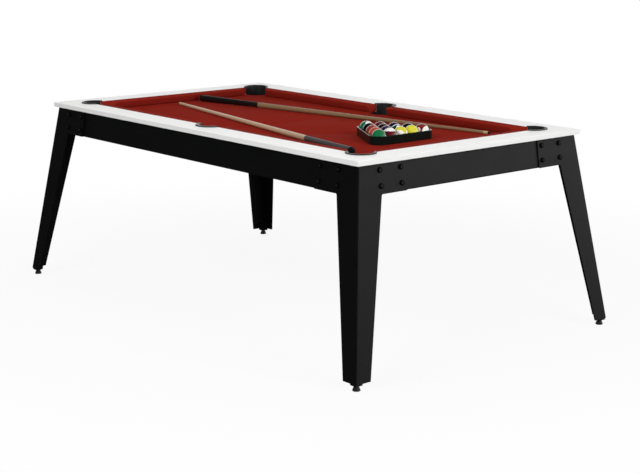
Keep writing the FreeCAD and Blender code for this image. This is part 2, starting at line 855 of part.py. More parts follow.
def make_cue(name, butt, tip_y, points_right):
    """A tapered shaft with its leather tip, a wrapped grip and a rubber bumper."""
    tenon_start = cue_grip_length - cue_tenon_length
    shaft = along_x([
        (tenon_start, 0, 0),
        (tenon_start, cue_tenon_radius, 0),
        (cue_grip_length, cue_tenon_radius, 0),
        (cue_grip_length, cue_grip_end_radius, 0),
        (cue_length, cue_tip_radius, cue_tip_radius / 2),
        (cue_length, 0, 0),
    ])
    bore = cue_tenon_radius + cue_tenon_gap
    grip = along_x([
        (cue_bumper_length, 0, 0),
        (cue_bumper_length, cue_butt_radius, 0),
        (cue_grip_length, cue_grip_end_radius, 0),
        (cue_grip_length, bore, 0),
        (tenon_start - cue_tenon_gap, bore, 0),
        (tenon_start - cue_tenon_gap, 0, 0),
    ])
    bumper = along_x([
        (0, 0, 0),
        (0, cue_butt_radius, cue_bumper_round),
        (cue_bumper_length, cue_butt_radius, 0),
        (cue_bumper_length, 0, 0),
    ])
    for piece, shape in (("shaft", shaft), ("grip", grip), ("bumper", bumper)):
        save("cue_" + name + "_" + piece, lay_cue(shape, butt, tip_y, points_right))


def make_cues():
    """The front cue's butt lies at the right end, the rear cue's at the left end."""
    front_butt = Vector(nose_x - front_cue_end_gap, front_cue_side_gap - nose_y, 0)
    make_cue("front", front_butt, front_cue_tip_y_share * half_width, False)
    rear_butt = Vector(rear_cue_end_gap - nose_x, rear_cue_butt_y_share * half_width, 0)
    make_cue("rear", rear_butt, nose_y - rear_cue_tip_gap, True)


os.makedirs("parts", exist_ok=True)
make_rails()
make_bed()
make_cushions()
make_pockets()
make_cross_beams(make_aprons())
make_legs()
make_leg_fasteners()
make_rail_bolts()
make_feet()
make_rack()
make_balls()
make_cues()
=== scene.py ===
"""Looks of a billiard table for a dining room, with its balls, its rack and two cues.

Lengths are in metres in the table's own frame: X along the table, Y across it and Z up,
with the origin on the floor under the middle. Patterns in materials are in millimetres.
"""
import bmesh
import bpy
import math
from mathutils import Matrix, Vector


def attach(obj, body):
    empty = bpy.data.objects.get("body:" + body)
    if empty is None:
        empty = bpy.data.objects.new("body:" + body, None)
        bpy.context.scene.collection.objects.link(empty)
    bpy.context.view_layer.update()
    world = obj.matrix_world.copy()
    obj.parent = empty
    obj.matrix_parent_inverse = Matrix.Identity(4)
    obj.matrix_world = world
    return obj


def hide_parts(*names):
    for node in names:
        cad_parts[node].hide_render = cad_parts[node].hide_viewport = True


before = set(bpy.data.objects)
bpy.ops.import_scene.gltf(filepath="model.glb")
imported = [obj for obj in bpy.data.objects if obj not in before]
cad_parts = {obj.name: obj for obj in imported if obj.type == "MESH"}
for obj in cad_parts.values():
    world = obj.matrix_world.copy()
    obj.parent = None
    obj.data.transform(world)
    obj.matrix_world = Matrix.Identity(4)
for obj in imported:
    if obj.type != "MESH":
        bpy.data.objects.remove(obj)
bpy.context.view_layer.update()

# Steel frame: four legs folded from 5 mm plate, four folded aprons and four cross tubes.
# They are welded or bolted mild steel, blasted and sprayed with satin black powder.
# The oven leaves a fine orange peel and patches that are a little duller than the rest.
mm = 0.001
powder_colours = ("#080809", "#0C0C0D")
powder_roughness = (0.40, 0.52)
dull_patch_mm = 140
orange_peel_mm = 3.5
orange_peel_depth_mm = 0.05

# Sockets of a Mix node that mixes colours: its share, its colours A and B, and its result.
mix_share = 0
mix_a = 6
mix_b = 7
mixed = 2


def linear(code):
    """Turn an sRGB hex colour to the linear colour that a node takes."""
    values = [int(code[start:start + 2], 16) / 255 for start in (1, 3, 5)]
    shares = [value / 12.92 if value <= 0.04045 else ((value + 0.055) / 1.055) ** 2.4 for value in values]
    return (*shares, 1)


def add_node(tree, kind, settings, links):
    """Add a node, set its properties and its sockets, and link other nodes into it."""
    node = tree.nodes.new(kind)
    for name, value in settings.items():
        if isinstance(name, str) and hasattr(node, name):
            setattr(node, name, value)
        else:
            node.inputs[name].default_value = value
    for name, source in links.items():
        tree.links.new(source, node.inputs[name])
    return node


def new_finish(name, centre=(0, 0, 0), turn=(0, 0, 0)):
    """Start a material. Its pattern is in millimetres, from the centre and turned with the piece."""
    finish = bpy.data.materials.new(name)
    finish.use_nodes = True
    tree = finish.node_tree
    tree.nodes.clear()
    coordinates = add_node(tree, "ShaderNodeTexCoord", {}, {})
    place = add_node(
        tree, "ShaderNodeMapping",
        {"vector_type": "TEXTURE", "Location": centre, "Rotation": turn, "Scale": (mm, mm, mm)},
        {"Vector": coordinates.outputs["Object"]})
    return finish, tree, place.outputs["Vector"]


def noise(tree, place, size_mm, detail, distortion=0.0):
    """Noise with clouds of about this size, as a value from 0 to 1."""
    node = add_node(
        tree, "ShaderNodeTexNoise", {"Scale": 1 / size_mm, "Detail": detail, "Distortion": distortion},
        {"Vector": place})
    return node.outputs["Fac"]


def two_tones(tree, colours, share):
    """Mix two colours by another node's value."""
    node = add_node(
        tree, "ShaderNodeMix", {"data_type": "RGBA", mix_a: linear(colours[0]), mix_b: linear(colours[1])},
        {mix_share: share})
    return node.outputs[mixed]


def spread(tree, limits, share):
    """Spread another node's value between two limits."""
    node = add_node(tree, "ShaderNodeMapRange", {"To Min": limits[0], "To Max": limits[1]}, {"Value": share})
    return node.outputs["Result"]


def relief(tree, strength, depth_mm, height):
    """Bump the shading by another node's value."""
    node = add_node(
        tree, "ShaderNodeBump", {"Strength": strength, "Distance": depth_mm * mm}, {"Height": height})
    return node.outputs["Normal"]


def close_finish(tree, settings, links):
    """End a material with its surface shader."""
    shader = add_node(tree, "ShaderNodeBsdfPrincipled", settings, links)
    add_node(tree, "ShaderNodeOutputMaterial", {}, {"Surface": shader.outputs["BSDF"]})


def dress(names, finish):
    """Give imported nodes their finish."""
    for name in names:
        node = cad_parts[name]
        for slot in node.material_slots:
            slot.material = finish


def powder_coat():
    """Baked powder: an even satin black, which up close shows orange peel and duller patches."""
    finish, tree, place = new_finish("satin_black_powder_coat")
    patches = noise(tree, place, dull_patch_mm, detail=3)
    peel = noise(tree, place, orange_peel_mm, detail=1)
    close_finish(
        tree, {"IOR": 1.5, "Specular IOR Level": 0.3},
        {"Base Color": two_tones(tree, powder_colours, patches),
         "Roughness": spread(tree, powder_roughness, patches),
         "Normal": relief(tree, 0.25, orange_peel_depth_mm, peel)})
    return finish


four_sides = ("front", "back", "left", "right")
corners = (("front_left", -1, -1), ("front_right", 1, -1), ("back_left", -1, 1), ("back_right", 1, 1))
powder = powder_coat()
dress(["leg_" + corner[0] for corner in corners], powder)
dress(["apron_" + side for side in four_sides] + ["cross_beams"], powder)

# Leg bolts: eight M12 button head bolts at each leg, four on each of its two faces.
# They are steel blackened in a hot oxide bath, with a hexagon socket, and nuts behind.
# The oxide hides the metal's shine, so a head is darker than the frame; its socket is painted paler, a
# painted highlight for the light that the middle of a head catches.
half_length = 1.030
half_width = 0.590
board_bottom = 0.779
leg_overhang = 0.0153
leg_height = 0.7515
lean_length = 0.1156 / leg_height
lean_width = 0.1068 / leg_height
bolt_columns = (0.0987, 0.1992)
bolt_levels = (0.754, 0.6975)
head_sides = 24
head_radius = 0.0105
head_height = 0.0066
head_top_radius = 0.0074
head_dome_start = 15
head_dome_steps = 6
shank_radius = 0.006
shank_length = 0.0205
socket_sides = 6
socket_radius = 0.0046
socket_depth = 0.004
oxide_colours = ("#050506", "#0C0C0D")
# Painted highlight: a paler oxide for the sockets, standing for the light on the middle of a head.
socket_highlight_colours = ("#262628", "#323234")
oxide_bloom_mm = 5
zinc_colours = ("#C2C6C9", "#A9AEAC")
zinc_bloom_mm = 6


def only(piece):
    """Select this piece alone and make it active."""
    bpy.ops.object.select_all(action="DESELECT")
    piece.select_set(True)
    bpy.context.view_layer.objects.active = piece


def settle(name):
    """Name the active piece and put its place into its mesh."""
    piece = bpy.context.object
    piece.name = name
    piece.data.name = name
    only(piece)
    bpy.ops.object.transform_apply(location=True, rotation=True, scale=True)
    return piece


def turned_piece(name, outline, sides=32, spot=(0, 0, 0)):
    """Raise a disc through (radius, height) steps about the upright axis at this spot."""
    first_radius, first_height = outline[0]
    foot = (spot[0], spot[1], spot[2] + first_height)
    bpy.ops.object.select_all(action="DESELECT")
    bpy.ops.mesh.primitive_circle_add(vertices=sides, radius=first_radius, fill_type="NGON", location=foot)
    piece = settle(name)
    bpy.ops.object.mode_set(mode="EDIT")
    bpy.ops.mesh.select_all(action="SELECT")
    radius, height = outline[0]
    for next_radius, next_height in outline[1:]:
        rise = (0, 0, next_height - height)
        bpy.ops.mesh.extrude_region_move(TRANSFORM_OT_translate={"value": rise})
        share = next_radius / radius
        pivot = (spot[0], spot[1], spot[2] + next_height)
        bpy.ops.transform.resize(value=(share, share, 1), center_override=pivot)
        radius, height = next_radius, next_height
    bpy.ops.mesh.select_all(action="SELECT")
    bpy.ops.mesh.normals_make_consistent(inside=False)
    bpy.ops.object.mode_set(mode="OBJECT")
    return piece


def shaped(piece, kind, **settings):
    """Add a modifier to a piece and apply it."""
    only(piece)
    modifier = piece.modifiers.new(kind.lower(), kind)
    for name, value in settings.items():
        setattr(modifier, name, value)
    bpy.ops.object.modifier_apply(modifier=modifier.name)


def cut(piece, cutter):
    """Cut a piece with a closed cutter, which is then gone."""
    shaped(piece, "BOOLEAN", object=cutter, operation="DIFFERENCE", solver="EXACT")
    bpy.data.objects.remove(cutter)


def own_copy(piece):
    """Copy a piece with a mesh of its own."""
    copy = piece.copy()
    copy.data = piece.data.copy()
    bpy.context.collection.objects.link(copy)
    return copy


def smoothed(piece, degrees=35):
    """Shade a piece smooth, with hard edges past this angle."""
    only(piece)
    bpy.ops.object.shade_smooth_by_angle(angle=math.radians(degrees))


def coated(piece, finish, body, stands_for=()):
    """Give a new piece its finish, its body and the nodes that it stands for."""
    piece.data.materials.clear()
    piece.data.materials.append(finish)
    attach(piece, body)
    if stands_for:
        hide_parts(*stands_for)


def face_distance(half, lean, height):
    """How far the leaning outer face of the legs stands from the table's middle."""
    return half - leg_overhang + lean * (board_bottom - height)


def joined(name, pieces):
    """Join pieces into one with this name."""
    only(pieces[0])
    for piece in pieces:
        piece.select_set(True)
    bpy.ops.object.join()
    return settle(name)


def treated_steel(name, colours, bloom_mm, roughness, metallic=1.0, shine=0.5):
    """Plated or blackened steel: its bloom is small clouds of a second tone, which are duller."""
    finish, tree, place = new_finish(name)
    bloom = noise(tree, place, bloom_mm, detail=4)
    close_finish(
        tree, {"Metallic": metallic, "Specular IOR Level": shine},
        {"Base Color": two_tones(tree, colours, bloom), "Roughness": spread(tree, roughness, bloom)})
    return finish


def make_head_bolt(head_finish, socket_highlight_finish):
    """One button head bolt that stands on the floor at the origin, head up, in dark oxide with a painted
    highlight in its socket.
    """
    dome = []
    for step in range(head_dome_steps + 1):
        angle = math.radians(head_dome_start + (90 - head_dome_start) * step / head_dome_steps)
        side = head_top_radius + (head_radius - head_top_radius) * math.cos(angle)
        dome.append((side, head_height * math.sin(angle)))
    outline = [(shank_radius, -shank_length), (shank_radius, 0), (head_radius, 0)] + dome
    outline.append((socket_radius, head_height))
    bolt = turned_piece("bolt", outline, sides=head_sides)
    bpy.ops.mesh.primitive_cylinder_add(
        vertices=socket_sides, radius=socket_radius, depth=2 * socket_depth, location=(0, 0, head_height))
    cut(bolt, settle("socket"))
    smoothed(bolt, 30)
    bolt.data.materials.append(head_finish)
    bolt.data.materials.append(socket_highlight_finish)
    # The socket's faces take the paler finish, which is a painted highlight.
    for face in bolt.data.polygons:
        in_socket = face.center.xy.length < socket_radius and face.center.z > 0
        face.material_index = int(in_socket)
    return bolt


def make_leg_bolts(head_finish, socket_highlight_finish):
    """Copies of one bolt on both faces of all four legs."""
    pattern = make_head_bolt(head_finish, socket_highlight_finish)
    bolts = []
    for corner, sign_x, sign_y in corners:
        for column in bolt_columns:
            for level in bolt_levels:
                along = face_distance(half_length, lean_length, level)
                across = face_distance(half_width, lean_width, level)
                inset_x = half_length - leg_overhang - column
                inset_y = half_width - leg_overhang - column
                on_long = (Vector((inset_x, across, level)), Vector((0, 1, lean_width)))
                on_short = (Vector((along, inset_y, level)), Vector((1, 0, lean_length)))
                for spot, outward in (on_long, on_short):
                    bolt = own_copy(pattern)
                    facing = Vector((sign_x * outward.x, sign_y * outward.y, outward.z))
                    bolt.rotation_euler = facing.to_track_quat("Z", "Y").to_euler()
                    bolt.location = (sign_x * spot.x, sign_y * spot.y, spot.z)
                    bolts.append(bolt)
    bpy.data.objects.remove(pattern)
    return joined("leg_bolt_set", bolts)


black_oxide = treated_steel(
    "black_oxide_steel", oxide_colours, oxide_bloom_mm, roughness=(0.38, 0.5), metallic=0.0, shine=0.08)
# The second finish paints a highlight into each bolt's socket.
painted_socket_highlight = treated_steel(
    "oxide_steel_painted_highlight", socket_highlight_colours, oxide_bloom_mm, roughness=(0.38, 0.48), metallic=0.0, shine=0.5)
leg_bolts = make_leg_bolts(black_oxide, painted_socket_highlight)
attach(leg_bolts, "table")
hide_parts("leg_bolts")
zinc = treated_steel("bright_zinc_plate", zinc_colours, zinc_bloom_mm, roughness=(0.25, 0.42))
dress(["leg_nuts", "rail_bolts"], zinc)

# Feet: a moulded black nylon pad under a zinc plated stud, which screws into the leg's block.
# The pad is matt and a little scuffed where it slides on the floor.
# The stud turns in its pad as the table is levelled, so each is a piece of its own.
pad_outline = (
    (0.0138, 0), (0.015, 0.0012), (0.015, 0.003), (0.0142, 0.0042), (0.0112, 0.0125), (0.0098, 0.016))
pad_sides = 40
pad_bore_radius = 0.00405
pad_bore_bottom = 0.0078
stud_neck = ((0.004, 0.008), (0.004, 0.0162), (0.0046, 0.0164))
stud_radius = 0.00495
stud_root_radius = 0.0043
stud_top = 0.0502
stud_sides = 20
thread_pitch = 0.0015
thread_steps = ((stud_radius, 0.3), (stud_radius, 0.5), (stud_root_radius, 0.9))  # radius, share of a pitch
nylon_colours = ("#131314", "#262627")
nylon_roughness = (0.42, 0.62)
scuff_mm = 4
foot_inset = 0.0208
foot_place = (half_length - leg_overhang + lean_length * leg_height - foot_inset,
              half_width - leg_overhang + lean_width * leg_height - foot_inset)


def nylon():
    """Moulded nylon: a waxy black with small scuffs that are paler and duller."""
    finish, tree, place = new_finish("moulded_black_nylon")
    scuffs = noise(tree, place, scuff_mm, detail=5)
    close_finish(
        tree, {"IOR": 1.53},
        {"Base Color": two_tones(tree, nylon_colours, scuffs),
         "Roughness": spread(tree, nylon_roughness, scuffs)})
    return finish


def make_stud(name, spot):
    """A stud with rolled thread ridges above its neck."""
    outline = list(stud_neck)
    turns = int((stud_top - stud_neck[-1][1]) / thread_pitch)
    for ridge in range(turns):
        base = stud_neck[-1][1] + ridge * thread_pitch
        for radius, share in thread_steps:
            outline.append((radius, base + thread_pitch * share))
    outline.append((stud_root_radius, stud_top))
    return turned_piece(name, outline, sides=stud_sides, spot=spot)


nylon_finish = nylon()
for corner, sign_x, sign_y in corners:
    spot = (sign_x * foot_place[0], sign_y * foot_place[1], 0)
    bore = ((pad_bore_radius, pad_outline[-1][1]), (pad_bore_radius, pad_bore_bottom))
    pad = turned_piece("nylon_pad_" + corner, pad_outline + bore, sides=pad_sides, spot=spot)
    smoothed(pad, 40)
    coated(pad, nylon_finish, "pad_" + corner, ["foot_pad_" + corner])
    stud = make_stud("levelling_stud_" + corner, spot)
    smoothed(stud, 50)
    coated(stud, zinc, "stud_" + corner, ["foot_stud_" + corner])

# Bed slab: one 19 mm slate, sawn, ground flat and drilled for the pockets and the rail bolts.
# Slate is grey with paler cleavage bands, and dull where it is ground.
# It shows only from below, and in the pockets as a thin dark edge.
slate_colours = ("#3A3E42", "#5B6063")
slate_band_mm = 60
slate_speck_mm = 4
slate_speck_depth_mm = 0.1


def slate():
    """Ground slate: dull grey with wavy paler bands and a fine pitted surface."""
    finish, tree, place = new_finish("ground_slate")
    bands = noise(tree, place, slate_band_mm, detail=6, distortion=1.2)
    specks = noise(tree, place, slate_speck_mm, detail=2)
    close_finish(
        tree, {"IOR": 1.55, "Roughness": 0.72},
        {"Base Color": two_tones(tree, slate_colours, bands),
         "Normal": relief(tree, 0.3, slate_speck_depth_mm, specks)})
    return finish


dress(["bed_slab"], slate())

# Bed cloth: red wool baize, woven, felted and shorn, stretched over the slate and glued.
# Its nap is fine and matt with a soft sheen at low angles, and it hides the threads.
# It is cut away round the six pockets, and its edges are a little rounded.
bed_top = 0.764
cloth_thickness = 0.001
cloth_length = 1.960
cloth_width = 1.080
rail_width = 0.110
corner_inset = 0.0216
middle_inset = 0.0116
cloth_hole_radius = 0.052
cloth_hole_sides = 96
cloth_edge_round = 0.3 * cloth_thickness
corner_pocket = (half_length - rail_width - corner_inset, half_width - rail_width - corner_inset)
middle_pocket_y = half_width - rail_width - middle_inset
pocket_places = [(corner, sign_x * corner_pocket[0], sign_y * corner_pocket[1], sign_x, sign_y)
                 for corner, sign_x, sign_y in corners]
pocket_places += [("front_middle", 0, -middle_pocket_y, 0, -1), ("back_middle", 0, middle_pocket_y, 0, 1)]
baize_colours = ("#7B1D14", "#882218")
baize_sheen_colour = "#B0402F"
baize_streak_mm = 220
nap_mm = 2.2
nap_depth_mm = 0.15
nap_share = 0.5


def baize(name, colours):
    """Wool cloth. Real threads are 0.5 mm apart and hidden by nap, which is drawn at 2.2 mm to show."""
    finish, tree, place = new_finish(name)
    nap = noise(tree, place, nap_mm, detail=3)
    streaks = noise(tree, place, baize_streak_mm, detail=2)
    mottle = add_node(
        tree, "ShaderNodeMath", {"operation": "MULTIPLY_ADD", 1: nap_share}, {0: nap, 2: streaks})
    close_finish(
        tree,
        {"Roughness": 0.95, "Specular IOR Level": 0.03, "Sheen Weight": 0.03, "Sheen Roughness": 0.5,
         "Sheen Tint": linear(baize_sheen_colour)},
        {"Base Color": two_tones(tree, colours, mottle.outputs["Value"]),
         "Normal": relief(tree, 0.35, nap_depth_mm, nap)})
    return finish


def box_piece(name, low, high):
    """A box between two opposite corners, as a start for a piece."""
    middle = [(a + b) / 2 for a, b in zip(low, high)]
    size = [b - a for a, b in zip(low, high)]
    bpy.ops.object.select_all(action="DESELECT")
    bpy.ops.mesh.primitive_cube_add(size=1, location=middle, scale=size)
    return settle(name)


def make_bed_cloth():
    """The stretched cloth with its six pocket holes."""
    low = (-cloth_length / 2, -cloth_width / 2, bed_top - cloth_thickness)
    high = (cloth_length / 2, cloth_width / 2, bed_top)
    cloth = box_piece("baize_bed_cloth", low, high)
    cutters = []
    for name, x, y, sign_x, sign_y in pocket_places:
        bpy.ops.object.select_all(action="DESELECT")
        bpy.ops.mesh.primitive_cylinder_add(
            vertices=cloth_hole_sides, radius=cloth_hole_radius, depth=20 * cloth_thickness,
            location=(x, y, bed_top))
        cutters.append(settle("hole_" + name))
    cut(cloth, joined("cloth_holes", cutters))
    shaped(cloth, "BEVEL", width=cloth_edge_round, segments=2, limit_method="ANGLE")
    smoothed(cloth, 40)
    return cloth


bed_baize = baize("red_wool_baize", baize_colours)
bed_cloth = make_bed_cloth()
coated(bed_cloth, bed_baize, "table", ["bed_cloth"])

# Rails: four fibreboard boards, mitred at the corners, sanded and sprayed with white lacquer.
# The lacquer is satin and nearly flat, with a faint stipple and wide patches a shade darker.
# They are bolted up through the slab from below, so no fixing shows on them.
lacquer_colours = ("#ECECEA", "#F2F2F1")
lacquer_roughness = (0.34, 0.44)
lacquer_patch_mm = 300
stipple_mm = 6
stipple_depth_mm = 0.04


def lacquer():
    """Sprayed lacquer: a clean satin white, which is never quite even in tone or shine."""
    finish, tree, place = new_finish("satin_white_lacquer")
    patches = noise(tree, place, lacquer_patch_mm, detail=2)
    stipple = noise(tree, place, stipple_mm, detail=2)
    close_finish(
        tree, {"IOR": 1.48},
        {"Base Color": two_tones(tree, lacquer_colours, patches),
         "Roughness": spread(tree, lacquer_roughness, stipple),
         "Normal": relief(tree, 0.12, stipple_depth_mm, stipple)})
    return finish


dress(["rail_" + side for side in four_sides], lacquer())

# Cushions: six strips of rubber, glued to the rails and covered with the same baize; its colour here is
# painted a shade lighter, painted light for faces that the lamps light less.
# Each has a sloping top, a round nose and an undercut face, and jaws at the pockets.
# The cloth is pulled tight over the rubber, so no seam shows from above.
rail_top = 0.798
cushion_reach = 0.048
cushion_top_fall = 0.0022
cushion_nose_width = 0.0055
cushion_nose_steps = 6
cushion_foot_reach = 0.031
cushion_foot_gap = 0.0015
pocket_wall_radius = 0.051
jaw_gap = 0.0003
corner_jaw_angle = 38
middle_jaw_angle = 76
cushion_edge_round = 0.0012
# Painted light: the cushions' baize is a shade lighter than the bed's, as the lamps light their faces less.
cushion_baize_painted_light_colours = ("#7A2017", "#87241B")


def picked(piece, test):
    """In edit mode, select the vertices that pass the test."""
    mesh = bmesh.from_edit_mesh(piece.data)
    for vertex in mesh.verts:
        vertex.select = bool(test(vertex.co))
    mesh.select_flush_mode()
    bmesh.update_edit_mesh(piece.data)


def jaw(inset, angle):
    """How far from the pocket's centre a cushion ends, at the rail and at its nose."""
    back = math.sqrt(pocket_wall_radius ** 2 - inset ** 2) + jaw_gap
    return back, back + cushion_reach / math.tan(math.radians(angle))


def make_cushion(name, left, right, face):
    """A cushion along +X behind the rail face at +Y, between two jaws given at back and nose."""
    foot = bed_top + cushion_foot_gap
    nose = face - cushion_reach
    cushion = box_piece(name, (left[0], nose, foot), (right[0], face, rail_top))
    bpy.ops.object.mode_set(mode="EDIT")
    picked(cushion, lambda spot: spot.y < nose + mm and spot.z < foot + mm)
    bpy.ops.transform.translate(value=(0, cushion_reach - cushion_foot_reach, 0))
    picked(cushion, lambda spot: spot.y < nose + mm and spot.z > rail_top - mm)
    bpy.ops.transform.translate(value=(0, 0, -cushion_top_fall))
    bpy.ops.mesh.bevel(
        offset=cushion_nose_width, segments=cushion_nose_steps, profile=0.5, affect="EDGES")
    for end, side in ((left, -1), (right, 1)):
        slope = (end[1] - end[0]) / cushion_reach
        outward = Vector((side, side * slope, 0)).normalized()
        bpy.ops.mesh.select_all(action="SELECT")
        bpy.ops.mesh.bisect(
            plane_co=(end[0], face, foot), plane_no=outward, use_fill=True, clear_outer=True)
    bpy.ops.mesh.select_all(action="SELECT")
    bpy.ops.mesh.normals_make_consistent(inside=False)
    bpy.ops.object.mode_set(mode="OBJECT")
    shaped(cushion, "BEVEL", width=cushion_edge_round, segments=3, limit_method="ANGLE",
           angle_limit=math.radians(40))
    smoothed(cushion)
    return cushion


def placed_copy(piece, name, turn=0, scale=(1, 1, 1)):
    """Copy a piece with its own mesh, turned about Z and mirrored, with its faces outward."""
    copy = own_copy(piece)
    copy.rotation_euler.z = math.radians(turn)
    copy.scale = scale
    only(copy)
    settle(name)
    if scale[0] * scale[1] < 0:
        bpy.ops.object.mode_set(mode="EDIT")
        bpy.ops.mesh.select_all(action="SELECT")
        bpy.ops.mesh.flip_normals()
        bpy.ops.object.mode_set(mode="OBJECT")
    return copy


corner_back, corner_nose = jaw(corner_inset, corner_jaw_angle)
middle_back, middle_nose = jaw(middle_inset, middle_jaw_angle)
long_right = (corner_pocket[0] - corner_back, corner_pocket[0] - corner_nose)
back_right_cushion = make_cushion(
    "cushion_over_back_right", (middle_back, middle_nose), long_right, half_width - rail_width)
short_end = (corner_pocket[1] - corner_back, corner_pocket[1] - corner_nose)
short_cushion = make_cushion(
    "cushion_pattern", (-short_end[0], -short_end[1]), short_end, half_length - rail_width)
cushions = {
    "cushion_back_right": back_right_cushion,
    "cushion_back_left": placed_copy(back_right_cushion, "cushion_over_back_left", scale=(-1, 1, 1)),
    "cushion_front_right": placed_copy(back_right_cushion, "cushion_over_front_right", scale=(1, -1, 1)),
    "cushion_front_left": placed_copy(back_right_cushion, "cushion_over_front_left", scale=(-1, -1, 1)),
    "cushion_left": placed_copy(short_cushion, "cushion_over_left", turn=90),
    "cushion_right": placed_copy(short_cushion, "cushion_over_right", turn=-90),
}
bpy.data.objects.remove(short_cushion)
# This copy of the baize is painted lighter to stand for light on the cushion faces.
cushion_painted_light_baize = baize("red_wool_baize_painted_lighter", cushion_baize_painted_light_colours)
for node, cushion in cushions.items():
    coated(cushion, cushion_painted_light_baize, "table", [node])

# Pockets: black ABS mouldings, each with a rim on the rails, a wall and a closed cup.
# They come from a spark eroded mould, so they are a dull black with a fine grain.
# Two black screws through the wall hold each to the rails.
bore_radius = 0.048
corner_rim_radius = 0.058
middle_rim_radius = 0.063
rim_height = 0.004
rim_round = 0.0015
rim_middle_share = 0.3
cup_depth = 0.074
cup_bevel = 0.010
pocket_wall = 0.003
pocket_sides = 96
pocket_edge_round = 0.0005
inner_share = 0.6
mouth_gap = 0.0005
pocket_abs_colours = ("#191A1B", "#222324")
mould_flow_mm = 35
mould_grain_mm = 1.6
mould_grain_depth_mm = 0.05
screw_radius = 0.003
screw_height = 0.0008
screw_sides = 20
screw_outline_shares = ((1, 0), (1, 0.4), (0.8, 0.8), (0.4, 1))
recess_length_share = 1.1
recess_width_share = 0.28
screw_drop = 0.011
middle_screw_turn = 67
corner_screw_turn = 50.25


def moulded_abs(name, colours, roughness, grain_mm, shine):
    """Moulded plastic: black with the mould's even grain, and faint clouds where it flowed."""
    finish, tree, place = new_finish(name)
    grain = noise(tree, place, grain_mm, detail=2)
    flow = noise(tree, place, mould_flow_mm, detail=2)
    close_finish(
        tree, {"IOR": 1.53, "Specular IOR Level": shine},
        {"Base Color": two_tones(tree, colours, flow), "Roughness": spread(tree, roughness, flow),
         "Normal": relief(tree, 0.2, mould_grain_depth_mm, grain)})
    return finish


def make_pocket(name, x, y, sign_x, sign_y):
    """A turned shell, cut open above the bed towards the table, with a rounded rim."""
    inset = middle_inset if sign_x == 0 else corner_inset
    rim_radius = middle_rim_radius if sign_x == 0 else corner_rim_radius
    cup_bottom = bed_top - cup_depth
    wall = pocket_wall_radius
    rim_top = rail_top + rim_height
    rim_middle = rim_middle_share * rim_round
    outline = [
        (wall - cup_bevel, cup_bottom),
        (wall, cup_bottom + cup_bevel),
        (wall, rail_top),
        (rim_radius, rail_top),
        (rim_radius, rim_top - rim_round),
        (rim_radius - rim_middle, rim_top - rim_middle),
        (rim_radius - rim_round, rim_top),
        (bore_radius + rim_round, rim_top),
        (bore_radius + rim_middle, rim_top - rim_middle),
        (bore_radius, rim_top - rim_round),
        (bore_radius, cup_bottom + cup_bevel + inner_share * pocket_wall),
        (wall - cup_bevel - inner_share * pocket_wall, cup_bottom + pocket_wall),
    ]
    pocket = turned_piece(name, outline, sides=pocket_sides, spot=(x, y, 0))
    reach = rim_radius + pocket_wall
    top = rail_top + 2 * rim_height
    mouth_bottom = bed_top - mouth_gap
    if sign_x == 0:
        near_x = (-reach, reach)
    else:
        near_x = sorted((-sign_x * reach, sign_x * inset))
    near_y = sorted((-sign_y * reach, sign_y * inset))
    cut(pocket, box_piece(
        "mouth", (x + near_x[0], y + near_y[0], mouth_bottom), (x + near_x[1], y + near_y[1], top)))
    shaped(pocket, "BEVEL", width=pocket_edge_round, segments=2, limit_method="ANGLE",
           angle_limit=math.radians(50))
    smoothed(pocket)
    return pocket


def make_pocket_screw():
    """A small domed screw head with a cross recess, standing at the origin."""
    outline = [(along * screw_radius, up * screw_height) for along, up in screw_outline_shares]
    screw = turned_piece("screw", outline, sides=screw_sides)
    recess = (recess_length_share * screw_radius, recess_width_share * screw_radius, screw_height)
    for turn in (0, 90):
        bpy.ops.mesh.primitive_cube_add(
            size=1, location=(0, 0, screw_height), scale=recess, rotation=(0, 0, math.radians(turn)))
        cut(screw, settle("recess"))
    smoothed(screw, 40)
    return screw


def place_pocket_screws(pattern, name, x, y, sign_x, sign_y):
    """Two screws inside the wall, on both sides of the line that points away from the bed."""
    outward = math.degrees(math.atan2(sign_y, sign_x))
    screw_turn = middle_screw_turn if sign_x == 0 else corner_screw_turn
    height = rail_top - screw_drop
    screws = []
    for side in (-1, 1):
        turn = math.radians(outward + side * screw_turn)
        inward = Vector((-math.cos(turn), -math.sin(turn), 0))
        screw = own_copy(pattern)
        screw.rotation_euler = inward.to_track_quat("Z", "Y").to_euler()
        screw.location = Vector((x, y, height)) - inward * bore_radius
        screws.append(screw)
    return joined("pocket_screws_" + name, screws)


pocket_abs = moulded_abs(
    "moulded_black_abs", pocket_abs_colours, roughness=(0.34, 0.44), grain_mm=mould_grain_mm, shine=0.2)
screw_pattern = make_pocket_screw()
for name, x, y, sign_x, sign_y in pocket_places:
    pocket = make_pocket("pocket_liner_" + name, x, y, sign_x, sign_y)
    coated(pocket, pocket_abs, "table", ["pocket_" + name])
    screws = place_pocket_screws(screw_pattern, name, x, y, sign_x, sign_y)
    coated(screws, black_oxide, "table")
bpy.data.objects.remove(screw_pattern)

# Ball rack: a triangle moulded in black ABS, a little taller than the middle of the balls.
# It is satin from a smooth mould, so it mirrors some red of the cloth that it lies on.
rack_abs_colours = ("#0B110E", "#121814")
rack_grain_mm = 9
rack_abs = moulded_abs(
    "satin_black_abs", rack_abs_colours, roughness=(0.2, 0.27), grain_mm=rack_grain_mm, shine=0.1)
dress(["ball_rack"], rack_abs)

